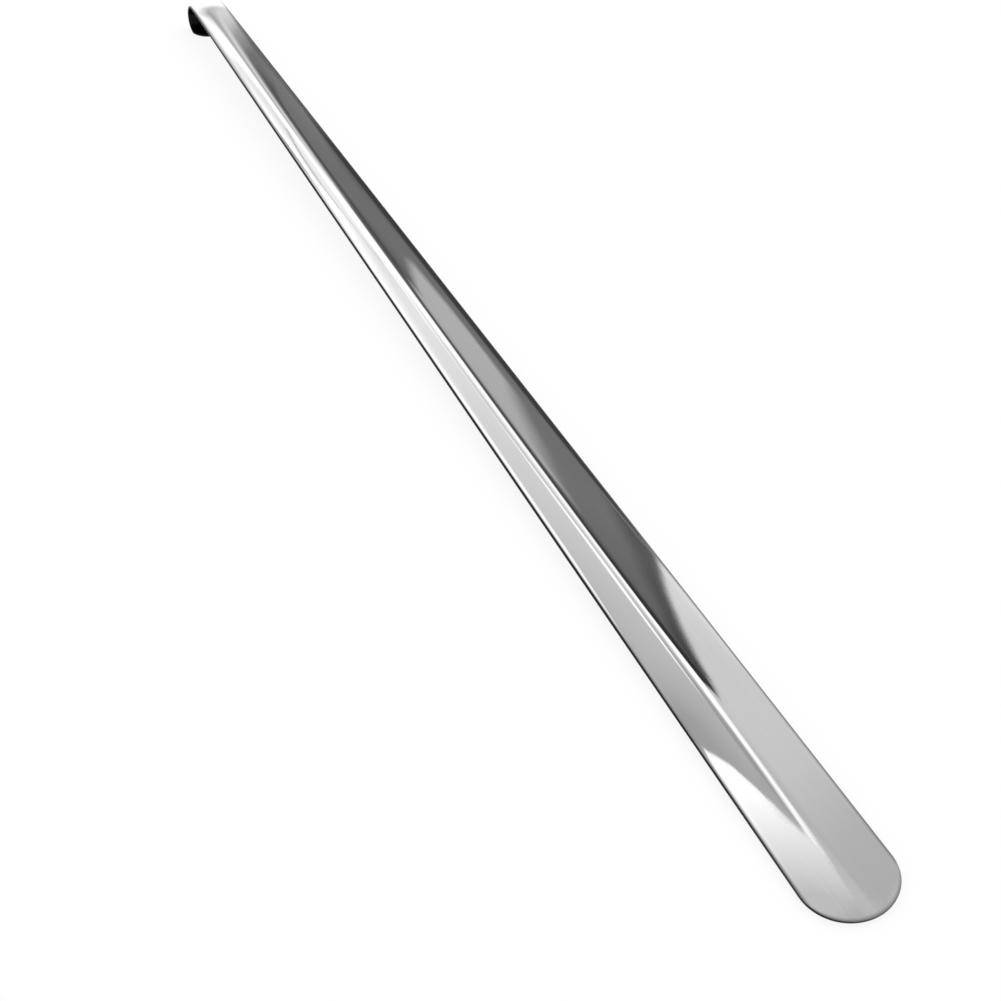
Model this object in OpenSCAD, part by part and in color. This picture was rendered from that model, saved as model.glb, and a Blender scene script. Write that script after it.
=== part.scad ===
// Long shoehorn pressed from one strip of polished steel sheet.
// The blade, the trough-shaped shaft and the hanging hook are drawn as three solids that meet face to face.
// It lies as it rests on a table: trough upwards, hook downwards, tip towards -Y, hook towards +Y.

/* [Strip] */
// Length from the tip of the blade to the back of the hook
overall_length = 800; // [600:10:1000]
// Thickness of the sheet
sheet_t = 1.5; // [1:0.1:2]

/* [Blade] */
// Width of the blade where its round tip begins
blade_width = 46; // [38:1:54]
// Length of the blade, from the tip to where the trough has its full depth
blade_length = 330; // [200:10:400]
// Length of the blade's round end
tip_length = 20; // [14:1:24]

/* [Shaft] */
// Width of the strip at the hook
handle_width = 23.5; // [18:0.5:30]
// Depth of the trough below the side edges
trough_depth = 6.5; // [4:0.5:9]
// Width of the rounded crease along the bottom of the trough
crease_width = 8; // [4:0.5:10]
// Length over which the trough runs out flat before the hook
runout_length = 250; // [60:10:260]

/* [Hook] */
// Radius of the round seat inside the hook
hook_inner_r = 8.4; // [6:0.2:12]
// Straight length of the hook's tongue between its bend and its round end
tongue_straight = 0.5; // [0.5:0.5:20]
// Length of the tongue's round end
tongue_round = 8.5; // [4:0.5:9]

/* [Hidden] */
steel = "silver";
$fn = 96;

// Rings of points along the sheet, and points across half of the crease
tip_rings = 14;
blade_rings = 18;
shaft_rings = 28;
crease_steps = 3;
// Half of the angle that the flat at the very end of the tip spans
tip_flat_angle = 3;
// Share of a narrow tip section that the crease may take
tip_crease_share = 0.6;

blade_half = blade_width / 2;
handle_half = handle_width / 2;
crease_half = crease_width / 2;
hook_outer_r = hook_inner_r + sheet_t;
hook_axis_z = -hook_outer_r;
bend_y = overall_length - hook_outer_r;
tongue_end_y = bend_y - tongue_straight - tongue_round;
tongue_end_r = (handle_half * handle_half + tongue_round * tongue_round) / (2 * tongue_round);
hook_bottom_z = -2 * hook_outer_r;

// Half the width between the straight side edges
function side_half(y) = handle_half + (blade_half - handle_half) * (bend_y - y) / (bend_y - tip_length);

// Half the width of the sheet, with the round tip cut off it
function cut_half(y) = y >= tip_length
    ? side_half(y)
    : blade_half * sqrt(max(1 - pow(1 - y / tip_length, 2), pow(sin(tip_flat_angle), 2)));

// Share of the trough's depth that is lost at a distance from one of its ends, up to all of it at the end
function fade(distance, length) = pow(max(0, 1 - distance / length), 2);

// Depth of the trough's bottom below the side edges
function depth(y) = trough_depth * (1 - fade(y, blade_length) - fade(bend_y - y, runout_length));

// Slope of the trough's two flat sides
function wing_slope(y) = depth(y) / (side_half(y) - crease_half / 2);

// Slope and height of the upper face, across the trough
function face_slope(x, y) = wing_slope(y) * max(-1, min(1, x / crease_half));
function face_height(x, y) = abs(x) < crease_half
    ? wing_slope(y) * x * x / (2 * crease_half) - depth(y)
    : -wing_slope(y) * (side_half(y) - abs(x));

// Places across the sheet where a ring has its points
function ring_places(y) =
    let (half = cut_half(y), inner = min(crease_half, tip_crease_share * half))
    concat([-half], [for (i = [-crease_steps:crease_steps]) inner * i / crease_steps], [half]);

function upper_point(x, y) = [x, y, face_height(x, y)];

// The lower face lies one sheet thickness square below the upper one
function lower_point(x, y) =
    let (slope = face_slope(x, y), run = sqrt(1 + slope * slope))
    [x + sheet_t * slope / run, y, face_height(x, y) - sheet_t / run];

// One closed ring: the upper face from left to right, then the lower face back
function ring(y) =
    let (places = ring_places(y), count = len(places))
    concat(
        [for (x = places) upper_point(x, y)],
        [for (i = [1:count]) lower_point(places[count - i], y)]
    );

tip_places = [
    for (i = [0:tip_rings])
    i == 0 ? 0 : tip_length * (1 - cos(tip_flat_angle + (90 - tip_flat_angle) * i / tip_rings))
];
blade_places = concat(
    tip_places,
    [for (i = [1:blade_rings]) tip_length + (blade_length - tip_length) * i / blade_rings]
);
shaft_places = [for (i = [0:shaft_rings]) blade_length + (bend_y - blade_length) * i / shaft_rings];

// Tilt at which the sheet lies on the hook's tongue and on the underside of the blade
function underside(y) = -depth(y) - sheet_t;
function rest_slope_at(y) = (underside(y) - hook_bottom_z) / (tongue_end_y - y);
rest_slopes = [for (y = concat(blade_places, shaft_places)) if (y < tongue_end_y) rest_slope_at(y)];
rest_tilt = atan(min(rest_slopes));
rest_z = tongue_end_y * sin(rest_tilt) + hook_bottom_z * cos(rest_tilt);
hook_end_y = bend_y * cos(rest_tilt) - hook_axis_z * sin(rest_tilt) + hook_outer_r;
middle_y = hook_end_y / 2;

// Sets what is drawn along the strip down in its place on the table
module at_rest() {
    translate([0, -middle_y, -rest_z])
        rotate([rest_tilt, 0, 0])
            children();
}

// Sheet between the rings at the given places
module sheet(places) {
    rings = [for (y = places) ring(y)];
    size = len(rings[0]);
    last = (len(places) - 1) * size;
    half = size / 2;
    walls = [
        for (r = [0:len(places) - 2], k = [0:size - 1])
        let (a = r * size + k, b = r * size + (k + 1) % size)
        each [[a, a + size, b], [b, a + size, b + size]]
    ];
    end_strips = [
        for (k = [0:half - 2])
        let (far = size - 1 - k)
        each [[k, k + 1, far], [k + 1, far - 1, far]]
    ];
    start_cap = end_strips;
    end_cap = [for (f = end_strips) [last + f[2], last + f[1], last + f[0]]];
    polyhedron([for (r = rings) each r], concat(walls, start_cap, end_cap));
}

module blade() {
    color(steel)
        at_rest()
            sheet(blade_places);
}

module shaft() {
    color(steel)
        at_rest()
            sheet(shaft_places);
}

// Half turn of the strip about the hook's own axis, which runs across the shoehorn
module hook_bend() {
    translate([-handle_half, bend_y, hook_axis_z])
        rotate([90, 0, 90])
            rotate([0, 0, -90])
                rotate_extrude(angle = 180)
                    translate([hook_inner_r, 0])
                        square([sheet_t, handle_width]);
}

// Flat tongue that runs back below the shaft to its round end
module hook_tongue() {
    translate([0, 0, hook_bottom_z])
        linear_extrude(sheet_t)
            intersection() {
                translate([-handle_half, tongue_end_y])
                    square([handle_width, bend_y - tongue_end_y]);
                translate([0, tongue_end_y + tongue_end_r])
                    circle(r = tongue_end_r);
            }
}

module hook() {
    color(steel)
        at_rest() {
            hook_bend();
            hook_tongue();
        }
}

blade();
shaft();
hook();
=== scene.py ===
"""Long mirror-polished steel shoehorn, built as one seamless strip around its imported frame.

The strip lies as it rests on a table: trough upwards, hook downwards, tip towards -Y, hook towards +Y.
Lengths are in metres, and directions are in degrees.
"""

import logging
import math
from dataclasses import dataclass, field
from enum import Enum
from typing import NamedTuple

import bpy
import numpy as np
from mathutils import Matrix, Vector


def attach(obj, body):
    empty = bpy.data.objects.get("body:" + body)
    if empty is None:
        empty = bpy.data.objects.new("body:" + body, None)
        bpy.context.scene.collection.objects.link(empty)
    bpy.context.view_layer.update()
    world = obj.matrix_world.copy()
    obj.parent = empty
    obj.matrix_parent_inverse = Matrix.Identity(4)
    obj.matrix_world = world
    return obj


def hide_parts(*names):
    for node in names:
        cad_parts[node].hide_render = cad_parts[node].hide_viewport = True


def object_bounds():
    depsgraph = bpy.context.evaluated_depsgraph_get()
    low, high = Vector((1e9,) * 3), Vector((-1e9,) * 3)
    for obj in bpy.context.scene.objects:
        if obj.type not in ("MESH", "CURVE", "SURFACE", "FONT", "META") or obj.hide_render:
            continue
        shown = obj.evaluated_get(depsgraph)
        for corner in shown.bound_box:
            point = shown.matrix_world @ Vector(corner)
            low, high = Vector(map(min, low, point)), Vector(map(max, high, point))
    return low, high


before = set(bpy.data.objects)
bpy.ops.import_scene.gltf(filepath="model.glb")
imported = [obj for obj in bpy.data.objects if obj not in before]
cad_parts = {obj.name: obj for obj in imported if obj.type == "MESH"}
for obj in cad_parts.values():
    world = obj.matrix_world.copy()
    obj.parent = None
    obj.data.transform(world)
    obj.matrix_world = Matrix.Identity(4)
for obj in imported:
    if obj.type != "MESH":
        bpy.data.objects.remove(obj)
CAD_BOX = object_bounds()
PHOTO_SIDE_PX = 1001
LOG = logging.getLogger("shoehorn")

Colour = tuple[float, float, float, float]
WHITE: Colour = (1.0, 1.0, 1.0, 1.0)


class Face(Enum):
    """The two broad faces of the sheet."""

    UPPER = "upper"
    LOWER = "lower"


class Side(Enum):
    """The two side edges of the strip, by the sign of X."""

    LEFT = -1
    RIGHT = 1


class Mask(Enum):
    """Named shares, stored on the strip's points, of painted shade on the cut edges and inside the hook's
    bend.
    """

    PAINTED_EDGE_SHADE = "painted_edge_shade"
    PAINTED_HOOK_SHADE = "painted_hook_shade"


class PanelValue(Enum):
    """Named values stored on the points of a studio panel."""

    COVER = "cover"
    GLOW = "glow"


def new_node(tree: bpy.types.NodeTree, kind: str, **settings: object) -> bpy.types.Node:
    """Adds a node and sets its options and unlinked inputs.

    Args:
        tree: The node tree to add to.
        kind: The node's type name.
        settings: Options of the node, or values of inputs written with underscores for spaces.

    Returns:
        The new node.
    """
    node = tree.nodes.new(kind)
    for name, value in settings.items():
        socket = node.inputs.get(name.replace("_", " "))
        if socket is None:
            setattr(node, name, value)
        else:
            socket.default_value = value
    return node


def stretched_noise(
    tree: bpy.types.NodeTree,
    scale: tuple[float, float, float],
    detail: float,
) -> bpy.types.NodeSocket:
    """Adds noise in the object's own coordinates.

    Args:
        tree: The node tree to add to.
        scale: Noise cells per metre along each axis.
        detail: Octaves of the noise.

    Returns:
        The noise's value.
    """
    place = new_node(tree, "ShaderNodeTexCoord")
    mapping = new_node(tree, "ShaderNodeMapping", Scale=scale)
    texture = new_node(tree, "ShaderNodeTexNoise", Scale=1.0, Detail=detail)
    tree.links.new(place.outputs["Object"], mapping.inputs["Vector"])
    tree.links.new(mapping.outputs["Vector"], texture.inputs["Vector"])
    return texture.outputs["Fac"]


def stored_value(tree: bpy.types.NodeTree, name: Mask | PanelValue) -> bpy.types.NodeSocket:
    """Reads a value that is stored on the mesh's points."""
    return new_node(tree, "ShaderNodeAttribute", attribute_name=name.value).outputs["Fac"]


def mixed_colour(
    tree: bpy.types.NodeTree,
    share: bpy.types.NodeSocket,
    first: Colour | bpy.types.NodeSocket,
    second: Colour,
) -> bpy.types.NodeSocket:
    """Mixes two colours by a share.

    Args:
        tree: The node tree to add to.
        share: How much of the second colour shows.
        first: A colour, or a socket that gives one.
        second: A colour.

    Returns:
        The mixed colour.
    """
    node = new_node(tree, "ShaderNodeMix", data_type="RGBA")
    inputs = {socket.identifier: socket for socket in node.inputs}
    outputs = {socket.identifier: socket for socket in node.outputs}
    tree.links.new(share, node.inputs["Factor"])
    if isinstance(first, bpy.types.NodeSocket):
        tree.links.new(first, inputs["A_Color"])
    else:
        inputs["A_Color"].default_value = first
    inputs["B_Color"].default_value = second
    return outputs["Result_Color"]


def mixed_shader(
    tree: bpy.types.NodeTree,
    share: bpy.types.NodeSocket,
    first: bpy.types.NodeSocket,
    second: bpy.types.NodeSocket,
) -> bpy.types.NodeSocket:
    """Mixes two shaders by a share.

    Args:
        tree: The node tree to add to.
        share: How much of the second shader shows.
        first: A shader.
        second: A shader.

    Returns:
        The mixed shader.
    """
    node = new_node(tree, "ShaderNodeMixShader")
    for socket, source in zip(node.inputs, (share, first, second)):
        tree.links.new(source, socket)
    return node.outputs["Shader"]


def new_material(name: str) -> tuple[bpy.types.Material, bpy.types.NodeTree, bpy.types.Node]:
    """Makes an empty node material.

    Args:
        name: The material's name.

    Returns:
        The material, its node tree and its output node.
    """
    material = bpy.data.materials.new(name)
    material.use_nodes = True
    tree = material.node_tree
    tree.nodes.clear()
    return material, tree, tree.nodes.new("ShaderNodeOutputMaterial")


def new_mesh(
    name: str,
    points: np.ndarray,
    faces: list[list[int]],
    stored: dict[Mask | PanelValue, np.ndarray],
) -> bpy.types.Mesh:
    """Makes a mesh with named values stored on its points.

    Args:
        name: The mesh's name.
        points: The points, one a row.
        faces: The corners of each face, as numbers of points.
        stored: The values of each name, one for each point.

    Returns:
        The mesh.
    """
    mesh = bpy.data.meshes.new(name)
    mesh.from_pydata(points.tolist(), [], faces)
    for key, values in stored.items():
        attribute = mesh.attributes.new(key.value, "FLOAT", "POINT")
        attribute.data.foreach_set("value", np.asarray(values, np.float32).ravel())
    return mesh


def new_object(name: str, data: bpy.types.ID) -> bpy.types.Object:
    """Adds an object to the scene.

    Args:
        name: The object's name.
        data: Its mesh, lamp or camera.

    Returns:
        The object.
    """
    thing = bpy.data.objects.new(name, data)
    bpy.context.scene.collection.objects.link(thing)
    return thing


@dataclass(frozen=True)
class PolishedSteel:
    """Mirror-polished stainless steel, rougher and darkened with painted shade on its cut edges and inside
    the hook.
    """

    bright: Colour = (0.83, 0.83, 0.835, 1.0)
    hazed: Colour = (0.69, 0.69, 0.7, 1.0)
    # Near-black painted shade on the cut edges and the rim beside them
    cut: Colour = (0.018, 0.018, 0.019, 1.0)
    # Near-black painted shade on the inside of the hook's bend
    hook_shade_colour: Colour = (0.012, 0.012, 0.012, 1.0)
    polish_roughness: tuple[float, float] = (0.02, 0.05)
    cut_roughness: float = 0.35
    haze_scale: tuple[float, float, float] = (30.0, 5.0, 30.0)
    haze_detail: float = 4.0
    haze_range: tuple[float, float] = (0.35, 0.75)
    line_scale: tuple[float, float, float] = (1500.0, 9.0, 1500.0)
    line_detail: float = 2.0
    line_height: float = 0.000002
    line_share: float = 0.5

    def material(self) -> bpy.types.Material:
        """Builds the finish with its polishing lines and haze, and the rougher places darkened with painted
        shade.

        Returns:
            The material.
        """
        material, tree, output = new_material("polished_steel")
        link = tree.links.new
        shader = new_node(tree, "ShaderNodeBsdfPrincipled", Metallic=1.0)
        link(shader.outputs["BSDF"], output.inputs["Surface"])

        haze = stretched_noise(tree, self.haze_scale, self.haze_detail)
        lines = stretched_noise(tree, self.line_scale, self.line_detail)
        streaks = new_node(tree, "ShaderNodeMix", Factor=self.line_share)
        link(haze, streaks.inputs["A"])
        link(lines, streaks.inputs["B"])
        colour = mixed_colour(tree, streaks.outputs["Result"], self.bright, self.hazed)
        thin, thick = self.haze_range
        low, high = self.polish_roughness
        polish = new_node(tree, "ShaderNodeMapRange", From_Min=thin, From_Max=thick, To_Min=low, To_Max=high)
        link(haze, polish.inputs["Value"])
        rough = polish.outputs["Result"]
        # Painted shade on the cut edges and inside the hook, which are also rougher
        for mask, painted_shade in ((Mask.PAINTED_EDGE_SHADE, self.cut), (Mask.PAINTED_HOOK_SHADE, self.hook_shade_colour)):
            share = stored_value(tree, mask)
            colour = mixed_colour(tree, share, colour, painted_shade)
            duller = new_node(tree, "ShaderNodeMapRange", To_Max=self.cut_roughness)
            link(share, duller.inputs["Value"])
            link(rough, duller.inputs["To Min"])
            rough = duller.outputs["Result"]
        link(colour, shader.inputs["Base Color"])
        link(rough, shader.inputs["Roughness"])

        bump = new_node(tree, "ShaderNodeBump", Strength=1.0, Distance=self.line_height)
        link(lines, bump.inputs["Height"])
        link(bump.outputs["Normal"], shader.inputs["Normal"])
        return material


@dataclass(frozen=True)
class StudioPaper:
    """Matt pale paper of the studio floor, lit evenly enough to leave only a faint shadow."""

    pale: Colour = (0.92, 0.92, 0.92, 1.0)
    paler: Colour = (0.94, 0.94, 0.94, 1.0)
    roughness: float = 0.6
    fibre_scale: tuple[float, float, float] = (900.0, 900.0, 900.0)
    fibre_detail: float = 2.0
    white_share: float = 0.8

    def material(self) -> bpy.types.Material:
        """Builds the paper with its faint fibre, which glows white where the eye or a mirror sees it.

        Returns:
            The material.
        """
        material, tree, output = new_material("studio_paper")
        link = tree.links.new
        matt = new_node(tree, "ShaderNodeBsdfDiffuse", Roughness=self.roughness)
        fibre = stretched_noise(tree, self.fibre_scale, self.fibre_detail)
        link(mixed_colour(tree, fibre, self.pale, self.paler), matt.inputs["Color"])
        lit = new_node(tree, "ShaderNodeEmission", Color=WHITE, Strength=1.0)
        ray = new_node(tree, "ShaderNodeLightPath").outputs
        seen = ray["Is Camera Ray"]
        for kind in ("Is Glossy Ray", "Is Transmission Ray"):
            total = new_node(tree, "ShaderNodeMath", operation="ADD")
            for socket, source in zip(total.inputs, (seen, ray[kind])):
                link(source, socket)
            seen = total.outputs["Value"]
        share = new_node(tree, "ShaderNodeMapRange", To_Max=self.white_share)
        link(seen, share.inputs["Value"])
        blend = mixed_shader(tree, share.outputs["Result"], matt.outputs["BSDF"], lit.outputs["Emission"])
        link(blend, output.inputs["Surface"])
        return material


class Rows(NamedTuple):
    """Places along the strip's outline, from the tip to the end of the hook's tongue.

    Half widths and lengths along the upper face, and the outward direction of the outline at each place.
    """

    half: np.ndarray
    along: np.ndarray
    out_x: np.ndarray
    out_s: np.ndarray


@dataclass
class SheetPoints:
    """Points of the strip while it is laid out flat, numbered by their part, row and step.

    Places across and along the upper face, depths below it, and how far each point is round the cut edge.
    """

    across: list[float] = field(default_factory=list)
    along: list[float] = field(default_factory=list)
    below: list[float] = field(default_factory=list)
    # How far round the cut edge, which also sets the painted shade there
    cut: list[float] = field(default_factory=list)
    numbers: dict[tuple[Face | Side, int, int], int] = field(default_factory=dict)

    def add(self, key: tuple[Face | Side, int, int], x: float, s: float, below: float, cut: float) -> None:
        """Notes one point of the sheet.

        Args:
            key: The point's part, row and step.
            x: Its place across the strip.
            s: Its length along the upper face.
            below: Its depth below the upper face.
            cut: How far it is round the cut edge, from 0 to 1.
        """
        self.numbers[key] = len(self.across)
        self.across.append(x)
        self.along.append(s)
        self.below.append(below)
        self.cut.append(cut)

    def corners(self, part: Face | Side, *places: tuple[int, int]) -> list[int]:
        """Numbers of one part's points at the given rows and steps."""
        return [self.numbers[(part, row, step)] for row, step in places]


@dataclass
class Shoehorn:
    """One strip of sheet: a broad round-tipped blade, a troughed shaft and a hanging hook."""

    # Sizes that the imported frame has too
    overall_length: float = 0.8
    sheet_t: float = 0.0015
    blade_width: float = 0.046
    blade_length: float = 0.33
    tip_length: float = 0.02
    handle_width: float = 0.0235
    trough_depth: float = 0.0065
    crease_width: float = 0.008
    runout_length: float = 0.25
    hook_inner_r: float = 0.0084
    tongue_straight: float = 0.0005
    tongue_round: float = 0.0085

    # Rounded cut edges, hollow wings with a lip, and the eased start of the hook's bend
    edge_r: float = 0.00025
    wing_hollow: float = 0.1
    lip_width: float = 0.003
    lip_rise: float = 0.00018
    ease_length: float = 0.013
    ease_slope: float = 0.06

    # Rim of painted shade beside the cut edges
    rim_width: float = 0.0009
    tip_rim: float = 0.0019
    hook_rim: float = 0.0036
    rim_shade_share: float = 0.8

    # Spacing of the mesh, and of the probes that measure a slope and the tilt at rest
    row_step: float = 0.0025
    tip_steps: int = 40
    bend_steps: int = 48
    tongue_steps: int = 24
    wing_steps: int = 8
    lip_steps: int = 5
    crease_steps: int = 16
    edge_steps: int = 4
    narrow_share: float = 0.6
    slope_probe: float = 0.00002
    rest_probes: int = 2000

    def __post_init__(self) -> None:
        """Works out the lengths that follow from the sizes."""
        self.blade_half = self.blade_width / 2
        self.handle_half = self.handle_width / 2
        self.crease_half = self.crease_width / 2
        self.hook_r = self.hook_inner_r + self.sheet_t
        self.bend_y = self.overall_length - self.hook_r
        self.tongue_y = self.bend_y - self.tongue_straight - self.tongue_round
        self.ease_turn = math.atan(self.ease_slope)
        ease_drop = self.ease_slope * self.ease_length / 2
        self.arc_r = (2 * self.hook_r - ease_drop) / (1 + math.cos(self.ease_turn))
        self.arc_y = self.overall_length - self.arc_r * (1 - math.sin(self.ease_turn))
        self.tongue_s = self.arc_y + (math.pi - self.ease_turn) * self.arc_r
        self.end_s = self.tongue_s + self.arc_y - self.arc_r * math.sin(self.ease_turn) - self.tongue_y
        self.end_r = (self.handle_half**2 + self.tongue_round**2) / (2 * self.tongue_round)
        self.taper = (self.blade_half - self.handle_half) / (self.bend_y - self.tip_length)

    def side_half(self, y: np.ndarray) -> np.ndarray:
        """Half the width between the straight side edges."""
        return self.handle_half + self.taper * np.maximum(0, self.bend_y - y)

    def depth(self, y: np.ndarray) -> np.ndarray:
        """Depth of the trough's bottom, which fades out towards the tip and the hook.

        Args:
            y: Places along the strip.

        Returns:
            Depths below the side edges.
        """
        tip_fade = np.maximum(0, 1 - y / self.blade_length) ** 2
        hook_fade = np.clip(1 - (self.bend_y - y) / self.runout_length, 0, 1) ** 2
        return self.trough_depth * (1 - tip_fade - hook_fade)

    def height(self, x: np.ndarray, y: np.ndarray) -> np.ndarray:
        """Height of the upper face, across its rounded crease, its faintly hollow wings and their lips.

        Args:
            x: Places across the strip.
            y: Places along the strip.

        Returns:
            Heights above the line of the side edges.
        """
        wing = self.side_half(y) - self.crease_half
        inner = 1 - self.wing_hollow
        slope = self.depth(y) / (inner * self.crease_half / 2 + wing)
        share = np.maximum(0, np.abs(x) - self.crease_half) / wing
        crease = np.minimum(np.abs(x), self.crease_half)
        rise = inner * crease * (crease / (2 * self.crease_half))
        lip = np.maximum(0, 1 - (self.side_half(y) - np.abs(x)) / self.lip_width) ** 2
        lift = self.lip_rise * lip * self.depth(y) / self.trough_depth
        return slope * (rise + wing * (inner * share + self.wing_hollow * share**2)) - self.depth(y) + lift

    def face_at(self, x: np.ndarray, s: np.ndarray) -> tuple[np.ndarray, np.ndarray]:
        """Points and outward directions of the upper face.

        Args:
            x: Places across the strip.
            s: Lengths along the upper face, which is the outside of the hook.

        Returns:
            Points and unit directions out of the sheet, square to its cross-section's outline, before the
            strip is laid down.
        """
        y = np.minimum(s, self.arc_y)
        right, left = x + self.slope_probe, x - self.slope_probe
        slope_x = (self.height(right, y) - self.height(left, y)) / (2 * self.slope_probe)
        eased = np.maximum(0, 1 - (self.arc_y - y) / self.ease_length) * self.ease_slope
        z = self.height(x, y) - eased**2 * self.ease_length / (2 * self.ease_slope)
        turn = np.clip(self.ease_turn + (s - self.arc_y) / self.arc_r, self.ease_turn, math.pi)
        ahead = self.arc_r * (np.sin(turn) - math.sin(self.ease_turn)) - np.maximum(0, s - self.tongue_s)
        point = np.stack([x, y + ahead, z - self.arc_r * (math.cos(self.ease_turn) - np.cos(turn))], -1)
        flat = np.stack([-slope_x, eased, np.ones_like(z)], -1)
        bent = np.stack([np.zeros_like(z), np.sin(turn), np.cos(turn)], -1)
        normal = np.where((s > self.arc_y)[..., None], bent, flat)
        return point, normal / np.linalg.norm(normal, axis=-1, keepdims=True)

    def rows(self) -> Rows:
        """Places along the outline, closer together where it is round.

        Returns:
            The rows, from the tip to the tongue's end.
        """
        turn = np.linspace(0, math.pi / 2, self.tip_steps + 1)
        tip_x, tip_s = self.tip_length * np.sin(turn), -self.blade_half * np.cos(turn)
        tip_run = np.hypot(tip_x, tip_s)
        straight_rows = round((self.arc_y - self.tip_length) / self.row_step)
        straight = np.linspace(self.tip_length, self.arc_y, straight_rows)[1:]
        bend = np.linspace(self.arc_y, self.tongue_s, self.bend_steps + 1)[1:]
        corner = math.asin(self.handle_half / self.end_r)
        end = np.linspace(corner, 0, self.tongue_steps + 1)
        lean = 1 / math.hypot(1, self.taper)
        parts = (
            Rows(
                half=self.blade_half * np.sin(turn),
                along=self.tip_length * (1 - np.cos(turn)),
                out_x=tip_x / tip_run,
                out_s=tip_s / tip_run,
            ),
            Rows(
                half=self.side_half(straight),
                along=straight,
                out_x=np.full_like(straight, lean),
                out_s=np.full_like(straight, self.taper * lean),
            ),
            Rows(
                half=np.full_like(bend, self.handle_half),
                along=bend,
                out_x=np.ones_like(bend),
                out_s=np.zeros_like(bend),
            ),
            Rows(
                half=self.end_r * np.sin(end),
                along=self.end_s - self.end_r * (1 - np.cos(end)),
                out_x=np.sin(end),
                out_s=np.cos(end),
            ),
        )
        return Rows(*(np.concatenate(values) for values in zip(*parts)))

    def edge_profile(self) -> list[tuple[float, float]]:
        """The rounded cut edge, from the upper face to the lower one.

        Returns:
            Pairs of the length outwards and the depth below the upper face.
        """
        turns = [math.pi / 2 * i / self.edge_steps for i in range(self.edge_steps + 1)]
        upper = [(self.edge_r * math.sin(a), self.edge_r * (1 - math.cos(a))) for a in turns]
        return upper + [(out, self.sheet_t - below) for out, below in reversed(upper)]

    def places_across(self, half: float) -> np.ndarray:
        """Places of a row's points across one face, closer together in the crease and on the lips.

        Args:
            half: Half the width of the face in this row.

        Returns:
            Places from the left to the right.
        """
        inner = min(self.crease_half, self.narrow_share * half)
        lip = min(self.lip_width, (half - inner) / 2)
        rim = min(self.rim_width, lip) / 2
        wing = np.linspace(inner, half - lip, self.wing_steps + 1)[1:]
        edge = np.linspace(half - lip, half - rim, self.lip_steps + 1)[1:]
        crease = np.linspace(-inner, inner, self.crease_steps + 1)
        side = np.concatenate([wing, edge, [half]])
        return np.concatenate([-side[::-1], crease, side])

    def rim(self, x: np.ndarray, s: np.ndarray) -> np.ndarray:
        """Painted shade beside the cut edge, widest at the tip and where the trough runs out before the
        hook.

        Args:
            x: Places across the strip.
            s: Lengths along the upper face.

        Returns:
            Shares, up to the rim's own at the very edge.
        """
        tip_s = self.tip_length * (1 - np.sqrt(np.clip(1 - (x / self.blade_half) ** 2, 0, 1)))
        gap = np.minimum(self.side_half(s) - np.abs(x), s - tip_s)
        filled = np.clip(self.depth(s) / self.trough_depth, 0, 1)
        half_filled = 1 - (2 * filled - 1) ** 2
        tip_width = self.rim_width + (self.tip_rim - self.rim_width) * (1 - filled)
        hook_width = self.rim_width + (self.hook_rim - self.rim_width) * half_filled
        width = np.where(s < self.blade_length, tip_width, hook_width)
        return self.rim_shade_share * np.clip(1 - gap / width, 0, 1)

    def rest_tilt(self) -> float:
        """Finds how the strip lies on the hook's tongue and on the underside of the blade.

        Returns:
            The tilt of its length, in radians.
        """
        y = np.linspace(0, self.bend_y - self.runout_length, self.rest_probes)
        underside = -self.depth(y) - self.sheet_t
        return math.atan(np.min((underside + 2 * self.hook_r) / (self.tongue_y - y)))

    def laid_down(self, points: np.ndarray) -> np.ndarray:
        """Moves points of the strip to where it rests on the table.

        Args:
            points: Points drawn along the strip.

        Returns:
            The same points in the frame's own place.
        """
        tilt = self.rest_tilt()
        cos, sin = math.cos(tilt), math.sin(tilt)
        floor_z = self.tongue_y * sin - 2 * self.hook_r * cos
        hook_y = self.bend_y * cos + self.hook_r * sin + self.hook_r
        x, y, z = points.T
        return np.stack([x, y * cos - z * sin - hook_y / 2, y * sin + z * cos - floor_z], -1)

    def lay_out(self, rows: Rows) -> SheetPoints:
        """Lays out the points of both faces, and of the rounded edge between them.

        Args:
            rows: Places along the outline. The first and the last are single points of each face.

        Returns:
            The points, numbered by face, row and column, and by side, row and step round the edge.
        """
        sheet = SheetPoints()
        numbers = sheet.numbers
        half = rows.half - self.edge_r * rows.out_x
        along = rows.along - self.edge_r * rows.out_s
        ends = (0, len(half) - 1)
        for face, below in ((Face.UPPER, 0.0), (Face.LOWER, self.sheet_t)):
            for i, s in enumerate(along):
                across = [0.0] if i in ends else self.places_across(half[i])
                for j, x in enumerate(across):
                    sheet.add((face, i, j), x, s, below, 0.0)

        profile = self.edge_profile()
        last_step = len(profile) - 1
        last_column = len(self.places_across(self.blade_half)) - 1
        for side, edge_column in ((Side.LEFT, 0), (Side.RIGHT, last_column)):
            for i, s in enumerate(along):
                column = 0 if i in ends else edge_column
                numbers[(side, i, 0)] = numbers[(Face.UPPER, i, column)]
                numbers[(side, i, last_step)] = numbers[(Face.LOWER, i, column)]
                for p in range(1, last_step):
                    if i in ends and side is Side.RIGHT:
                        numbers[(side, i, p)] = numbers[(Side.LEFT, i, p)]
                        continue
                    out, below = profile[p]
                    x = side.value * (half[i] + out * rows.out_x[i])
                    sheet.add((side, i, p), x, s + out * rows.out_s[i], below, math.sqrt(out / self.edge_r))
        return sheet

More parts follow.
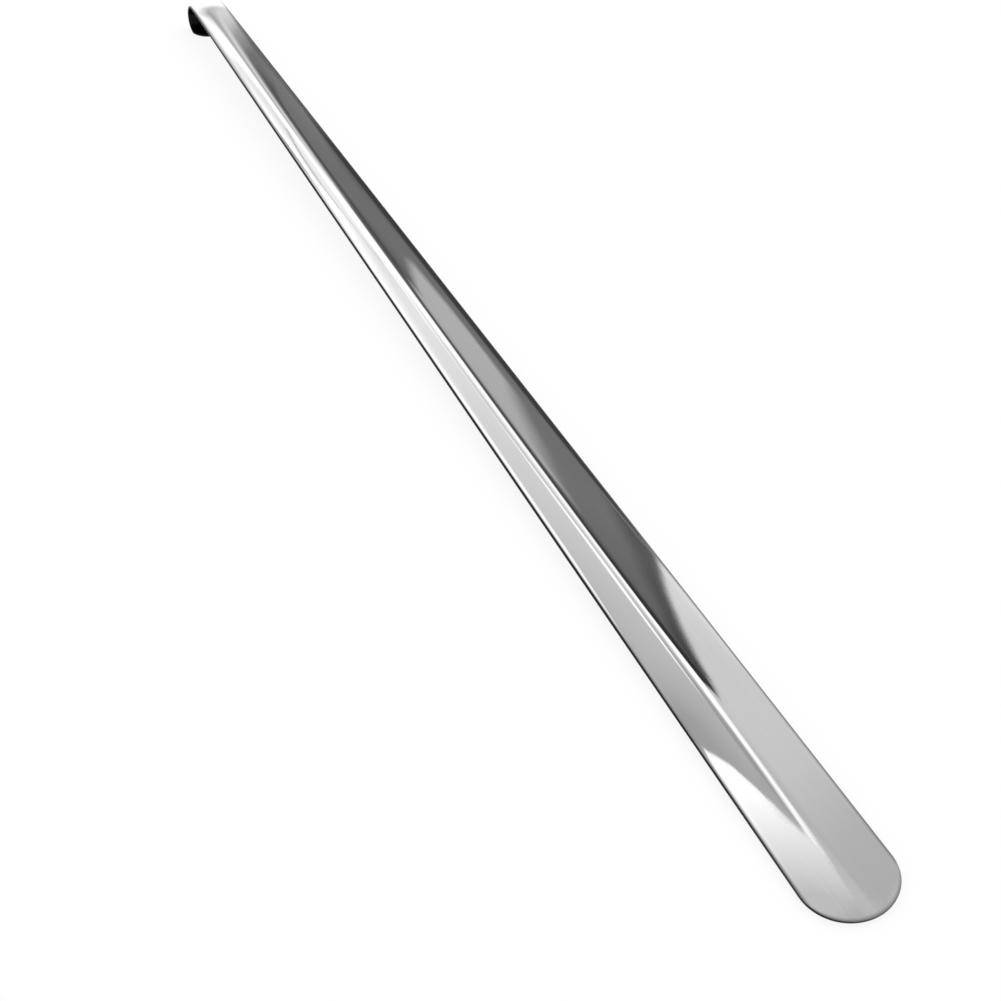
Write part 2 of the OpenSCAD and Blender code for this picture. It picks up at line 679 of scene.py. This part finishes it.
    def patches(self, sheet: SheetPoints, last_row: int) -> list[list[int]]:
        """Joins the points into patches, which are triangles on the faces at the two round ends.

        Args:
            sheet: The points.
            last_row: The last row's number.

        Returns:
            The corners of each patch, turning left as seen from outside the sheet.
        """
        patches = []
        columns = len(self.places_across(self.blade_half))
        steps = len(self.edge_profile())
        for i in range(last_row):
            for j in range(columns - 1):
                if i == 0:
                    places = ((0, 0), (1, j + 1), (1, j))
                elif i + 1 == last_row:
                    places = ((i, j), (i, j + 1), (last_row, 0))
                else:
                    places = ((i, j), (i, j + 1), (i + 1, j + 1), (i + 1, j))
                patches.append(sheet.corners(Face.UPPER, *places))
                patches.append(sheet.corners(Face.LOWER, *places)[::-1])
            for p in range(steps - 1):
                places = ((i, p), (i, p + 1), (i + 1, p + 1), (i + 1, p))
                patches.append(sheet.corners(Side.LEFT, *places)[::-1])
                patches.append(sheet.corners(Side.RIGHT, *places))
        return patches

    def build(self) -> bpy.types.Object:
        """Builds the strip as one closed mesh of two faces and a rounded edge all round.

        Returns:
            The strip's object.
        """
        rows = self.rows()
        sheet = self.lay_out(rows)
        patches = self.patches(sheet, len(rows.half) - 1)
        x, s, below = np.array([sheet.across, sheet.along, sheet.below])
        upper_points, normals = self.face_at(x, s)
        points = self.laid_down(upper_points - below[:, None] * normals).clip(*CAD_BOX)
        # Shares of painted shade: on and beside the cut edges, and on the inside of the hook's bend
        masks = {
            Mask.PAINTED_EDGE_SHADE: np.maximum(sheet.cut, self.rim(x, s)),
            Mask.PAINTED_HOOK_SHADE: (below > self.sheet_t / 2) & (s > self.arc_y),
        }
        mesh = new_mesh("shoehorn_strip", points, patches, masks)
        mesh.shade_smooth()
        return new_object("shoehorn_strip", mesh)

    def dress(self, strip: bpy.types.Object, steel: PolishedSteel) -> None:
        """Gives the strip its finish and its place in the frame.

        Args:
            strip: The strip's object.
            steel: The finish.
        """
        strip.data.materials.append(steel.material())
        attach(strip, "root")
        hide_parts("blade", "shaft", "hook")


class Column(NamedTuple):
    """One upright line of a studio panel, as directions from the shoehorn.

    Degrees from +Y towards +X, degrees above the floor of its two ends, and its glow.
    """

    azimuth: float
    lower: float
    upper: float
    glow: float


@dataclass(frozen=True)
class Panel:
    """A studio panel far away that only the polished metal sees, drawn between its columns.

    It fades out over its soft edges, which are in degrees like the step of its mesh.
    """

    name: str
    columns: tuple[Column, ...]
    soft_side: float
    soft_lower: float
    soft_upper: float
    step: float = 1.5

    def grid(self) -> tuple[np.ndarray, np.ndarray, np.ndarray]:
        """Spreads the panel over a grid of directions, whose outermost cells are its soft edges.

        Returns:
            The azimuth of each upright line, the elevations by level and line, and the glow of each line.
        """
        given, lowers, uppers, glows = np.array(self.columns, float).T
        inner_first, inner_last = given[0] + self.soft_side, given[-1] - self.soft_side
        spans = math.ceil((inner_last - inner_first) / self.step)
        between = given[(given > inner_first) & (given < inner_last)]
        inner = np.union1d(np.linspace(inner_first, inner_last, spans + 1), between)
        azimuth = np.concatenate([given[:1], inner, given[-1:]])
        lower, upper, glow = (np.interp(azimuth, given, values) for values in (lowers, uppers, glows))
        height = upper - lower
        inner_lower = lower + np.minimum(self.soft_lower, height / 2)
        inner_upper = upper - np.minimum(self.soft_upper, height / 2)
        levels = math.ceil(height.max() / self.step)
        share = np.linspace(0, 1, levels + 1)[:, None]
        body = inner_lower * (1 - share) + inner_upper * share
        return azimuth, np.concatenate([lower[None], body, upper[None]]), glow

    def build(self, distance: float) -> bpy.types.Object:
        """Builds the panel and hides it from all but mirrored rays.

        Args:
            distance: How far the panel is from the shoehorn.

        Returns:
            The panel's object.
        """
        azimuth, elevation, glow = self.grid()
        turn, rise = np.radians(azimuth), np.radians(elevation)
        ahead = np.stack([np.sin(turn) * np.cos(rise), np.cos(turn) * np.cos(rise), np.sin(rise)], -1)
        cover = np.zeros_like(elevation)
        cover[1:-1, 1:-1] = 1
        number = np.arange(elevation.size).reshape(elevation.shape)
        corners = (number[:-1, :-1], number[:-1, 1:], number[1:, 1:], number[1:, :-1])
        faces = np.stack(corners, -1).reshape(-1, len(corners)).tolist()
        stored = {PanelValue.COVER: cover, PanelValue.GLOW: np.broadcast_to(glow, elevation.shape)}
        points = (distance * ahead).reshape(-1, ahead.shape[-1])
        panel = new_object(self.name, new_mesh(self.name, points, faces, stored))
        for ray in ("camera", "diffuse", "transmission", "volume_scatter", "shadow"):
            setattr(panel, f"visible_{ray}", False)
        panel.data.materials.append(self.material())
        return panel

    def material(self) -> bpy.types.Material:
        """Builds the panel's glow, which fades out over its edges.

        Returns:
            The material.
        """
        material, tree, output = new_material(self.name)
        lit = new_node(tree, "ShaderNodeEmission")
        clear = new_node(tree, "ShaderNodeBsdfTransparent")
        tree.links.new(stored_value(tree, PanelValue.GLOW), lit.inputs["Strength"])
        cover = stored_value(tree, PanelValue.COVER)
        fade = mixed_shader(tree, cover, clear.outputs["BSDF"], lit.outputs["Emission"])
        tree.links.new(fade, output.inputs["Surface"])
        return material


@dataclass
class Studio:
    """Pale floor, white surroundings, a soft lamp and the panels that the metal mirrors.

    The panels stand one in front of the other, from the farthest to the nearest.
    """

    floor_side: float = 40.0
    world_level: float = 1.0
    lamp_side: float = 2.0
    lamp_power: float = 12.0
    lamp_place: tuple[float, float, float] = (1.2, 0.8, 1.8)
    farthest_panel: float = 142.0
    panel_gap: float = 3.0
    panels: tuple[Panel, ...] = (
        Panel(
            "softbox",
            (
                Column(-75, -3, 66, 1.3),
                Column(110, -3, 66, 1.3),
            ),
            soft_side=6.0,
            soft_lower=1.0,
            soft_upper=4.0,
        ),
        Panel(
            "tip_fade",
            (
                Column(54, 42, 64, 0.66),
                Column(75, 41.5, 64, 0.64),
            ),
            soft_side=1.5,
            soft_lower=10.0,
            soft_upper=1.0,
        ),
        Panel(
            "low_card",
            (
                Column(-36, 2, 14, 0.55),
                Column(-18, 2, 17, 0.35),
                Column(0, 2, 18, 0.45),
                Column(13, 2, 16, 0.8),
            ),
            soft_side=3.0,
            soft_lower=4.0,
            soft_upper=7.0,
        ),
        Panel(
            "ceiling",
            (
                Column(-75, 56, 88, 0.86),
                Column(-6, 56, 88, 0.94),
                Column(10, 56, 88, 0.79),
                Column(25, 55.5, 88, 0.75),
                Column(35, 53, 88, 0.72),
                Column(48, 50, 88, 0.58),
                Column(55, 50.5, 88, 0.55),
                Column(57, 53.5, 88, 0.55),
                Column(75, 53.5, 88, 0.54),
            ),
            soft_side=3.0,
            soft_lower=2.0,
            soft_upper=3.0,
        ),
        Panel(
            "tip_glow",
            (
                Column(48, 51, 54, 0.62),
                Column(53, 48.5, 54, 0.64),
                Column(55.5, 47.5, 54, 0.65),
            ),
            soft_side=1.0,
            soft_lower=4.0,
            soft_upper=1.2,
        ),
        Panel(
            "side_low",
            (
                Column(31, 14.5, 19, 1.15),
                Column(37, 5.5, 11, 0.93),
                Column(44, 7.5, 14, 1),
                Column(50, 10.5, 20, 0.82),
                Column(53, 14, 26, 0.72),
                Column(54.3, 16, 36, 0.66),
                Column(57, 18, 36, 0.58),
                Column(75, 18, 30, 0.5),
            ),
            soft_side=1.5,
            soft_lower=3.0,
            soft_upper=0.8,
        ),
        Panel(
            "side_high",
            (
                Column(53.2, 32, 38, 0.62),
                Column(54, 30, 47.5, 0.6),
                Column(56, 28, 46, 0.55),
                Column(57.4, 28, 39, 0.45),
                Column(60, 26, 33, 0.42),
                Column(75, 26, 30, 0.45),
            ),
            soft_side=1.0,
            soft_lower=6.0,
            soft_upper=0.7,
        ),
        Panel(
            "inner_stripe",
            (
                Column(37, 20, 44, 1.2),
                Column(41, 17, 45, 0.98),
                Column(44, 15, 46.5, 0.82),
                Column(47.5, 17, 48, 0.68),
                Column(48.2, 32, 48.2, 0.58),
                Column(50, 32.5, 48.4, 0.46),
                Column(54, 35, 48.2, 0.4),
                Column(57, 38, 44, 0.38),
            ),
            soft_side=3.0,
            soft_lower=4.0,
            soft_upper=3.5,
        ),
        Panel(
            "dark_card",
            (
                Column(-75, 12, 57.3, 0.22),
                Column(-30, 14, 57.3, 0.05),
                Column(-21, 24, 57.8, 0.06),
                Column(-17.5, 26, 58.2, 0.2),
                Column(-9, 26, 59.2, 0.21),
                Column(0, 26, 59.8, 0.18),
                Column(10, 28, 60.3, 0.15),
                Column(17, 34, 60.3, 0.11),
                Column(20, 36, 60.1, 0.065),
                Column(26, 41, 58.7, 0.036),
                Column(35, 48.5, 54.4, 0.04),
            ),
            soft_side=1.0,
            soft_lower=8.0,
            soft_upper=0.6,
        ),
        Panel(
            "top_band",
            (
                Column(-15, 54, 58.3, 0.12),
                Column(-5, 57, 59.4, 0.12),
                Column(5, 58.5, 60.1, 0.09),
                Column(18, 58.4, 60.2, 0.06),
            ),
            soft_side=2.0,
            soft_lower=1.2,
            soft_upper=0.6,
        ),
        Panel(
            "under_band",
            (
                Column(-15, 40.5, 44, 0.2),
                Column(-9, 37, 44.6, 0.12),
                Column(-3, 38.2, 44.8, 0.1),
                Column(1, 40.4, 45, 0.085),
                Column(11, 42.5, 46, 0.12),
            ),
            soft_side=1.5,
            soft_lower=0.8,
            soft_upper=0.8,
        ),
        Panel(
            "low_grey",
            (
                Column(-18, 27, 37.6, 0.25),
                Column(-8, 28, 37.8, 0.26),
                Column(-2, 28, 38.6, 0.23),
                Column(6, 28, 40.8, 0.45),
                Column(10, 27, 40.6, 0.72),
                Column(15, 25, 39, 0.86),
                Column(19, 25, 37, 0.62),
                Column(20.5, 25.5, 36, 0.5),
                Column(23, 27, 34.5, 0.58),
                Column(27, 26, 32, 1.2),
            ),
            soft_side=1.0,
            soft_lower=5.0,
            soft_upper=2.0,
        ),
        Panel(
            "pale_card",
            (
                Column(-16.4, 42, 45, 0.5),
                Column(-15, 42, 50, 0.55),
                Column(-11, 44, 52.4, 0.54),
                Column(-4, 44.6, 54.8, 0.51),
                Column(1, 44.7, 55, 0.5),
                Column(5, 44.8, 54.8, 0.42),
                Column(11, 46.5, 53, 0.22),
            ),
            soft_side=1.0,
            soft_lower=0.8,
            soft_upper=1.8,
        ),
        Panel(
            "right_card",
            (
                Column(78, 6, 62, 0.35),
                Column(112, 4, 56, 0.5),
            ),
            soft_side=6.0,
            soft_lower=8.0,
            soft_upper=8.0,
        ),
        Panel(
            "rear_right_card",
            (
                Column(128, 6, 44, 0.14),
                Column(150, 6, 50, 0.1),
            ),
            soft_side=5.0,
            soft_lower=8.0,
            soft_upper=8.0,
        ),
        Panel(
            "rear_card",
            (
                Column(172, 4, 40, 0.3),
                Column(205, 4, 44, 0.2),
            ),
            soft_side=6.0,
            soft_lower=6.0,
            soft_upper=10.0,
        ),
        Panel(
            "rear_left_card",
            (
                Column(210, 2, 22, 0.35),
                Column(242, 2, 26, 0.2),
            ),
            soft_side=6.0,
            soft_lower=4.0,
            soft_upper=8.0,
        ),
        Panel(
            "left_card",
            (
                Column(232, 14, 62, 0.08),
                Column(276, 18, 64, 0.12),
            ),
            soft_side=8.0,
            soft_lower=10.0,
            soft_upper=8.0,
        ),
    )

    def floor(self, paper: StudioPaper) -> bpy.types.Object:
        """Lays the floor.

        Args:
            paper: The floor's finish.

        Returns:
            The floor's object.
        """
        half = self.floor_side / 2
        corners = np.array([(-half, -half, 0), (half, -half, 0), (half, half, 0), (-half, half, 0)])
        floor = new_object("studio_floor", new_mesh("studio_floor", corners, [[0, 1, 2, 3]], {}))
        floor.data.materials.append(paper.material())
        return floor

    def lamp(self) -> bpy.types.Object:
        """Hangs the soft lamp, which the metal doesn't mirror.

        Returns:
            The lamp's object.
        """
        lamp = new_object("soft_lamp", bpy.data.lights.new("soft_lamp", "AREA"))
        lamp.data.size = self.lamp_side
        lamp.data.energy = self.lamp_power
        lamp.location = self.lamp_place
        lamp.rotation_euler = (-Vector(self.lamp_place)).to_track_quat("-Z", "Y").to_euler()
        lamp.visible_glossy = False
        return lamp

    def light_surroundings(self) -> None:
        """Makes the surroundings evenly white."""
        world = bpy.data.worlds.new("white_studio")
        bpy.context.scene.world = world
        world.use_nodes = True
        background = world.node_tree.nodes["Background"]
        background.inputs["Color"].default_value = WHITE
        background.inputs["Strength"].default_value = self.world_level

    def build(self, paper: StudioPaper) -> list[bpy.types.Object]:
        """Builds the floor, the lamp, the surroundings and the panels.

        Args:
            paper: The floor's finish.

        Returns:
            The stage's objects.
        """
        stage = [self.floor(paper), self.lamp()]
        self.light_surroundings()
        for k, panel in enumerate(self.panels):
            stage.append(panel.build(self.farthest_panel - k * self.panel_gap))
        return stage


@dataclass(frozen=True)
class PhotoCamera:
    """Camera at the photograph's place, found by fitting the strip's outline."""

    eye: tuple[float, float, float] = (-0.3091, -0.6006, 0.5129)
    target: tuple[float, float, float] = (-0.02788, -0.12979, 0.0)
    roll: float = 5.789
    focal_px: float = 1512.3
    sensor_mm: float = 36.0
    nearest: float = 0.01

    def build(self) -> bpy.types.Object:
        """Builds the camera and makes it the scene's own.

        Returns:
            The camera's object.
        """
        camera = new_object("photo_camera", bpy.data.cameras.new("photo_camera"))
        camera.data.sensor_width = self.sensor_mm
        camera.data.lens = self.focal_px * self.sensor_mm / PHOTO_SIDE_PX
        camera.data.clip_start = self.nearest
        forward = (Vector(self.target) - Vector(self.eye)).normalized()
        level = forward.to_track_quat("-Z", "Y").to_matrix()
        turned = level @ Matrix.Rotation(math.radians(self.roll), 3, "Z")
        camera.matrix_world = Matrix.Translation(self.eye) @ turned.to_4x4()
        bpy.context.scene.camera = camera
        return camera


def main() -> None:
    """Builds the camera, the shoehorn and its studio, and logs the lens, the strip's points and faces, and
    the stage.
    """
    logging.basicConfig(level=logging.INFO, format="%(name)s: %(message)s")
    bpy.context.scene.view_settings.view_transform = "Standard"
    camera = PhotoCamera().build()
    LOG.info("%s with a %.1f mm lens", camera.name, camera.data.lens)
    shoehorn = Shoehorn()
    strip = shoehorn.build()
    shoehorn.dress(strip, PolishedSteel())
    LOG.info("%s: %d points, %d faces", strip.name, len(strip.data.vertices), len(strip.data.polygons))
    for stage in Studio().build(StudioPaper()):
        LOG.info("%s on the stage", stage.name)


if __name__ == "__main__":
    main()
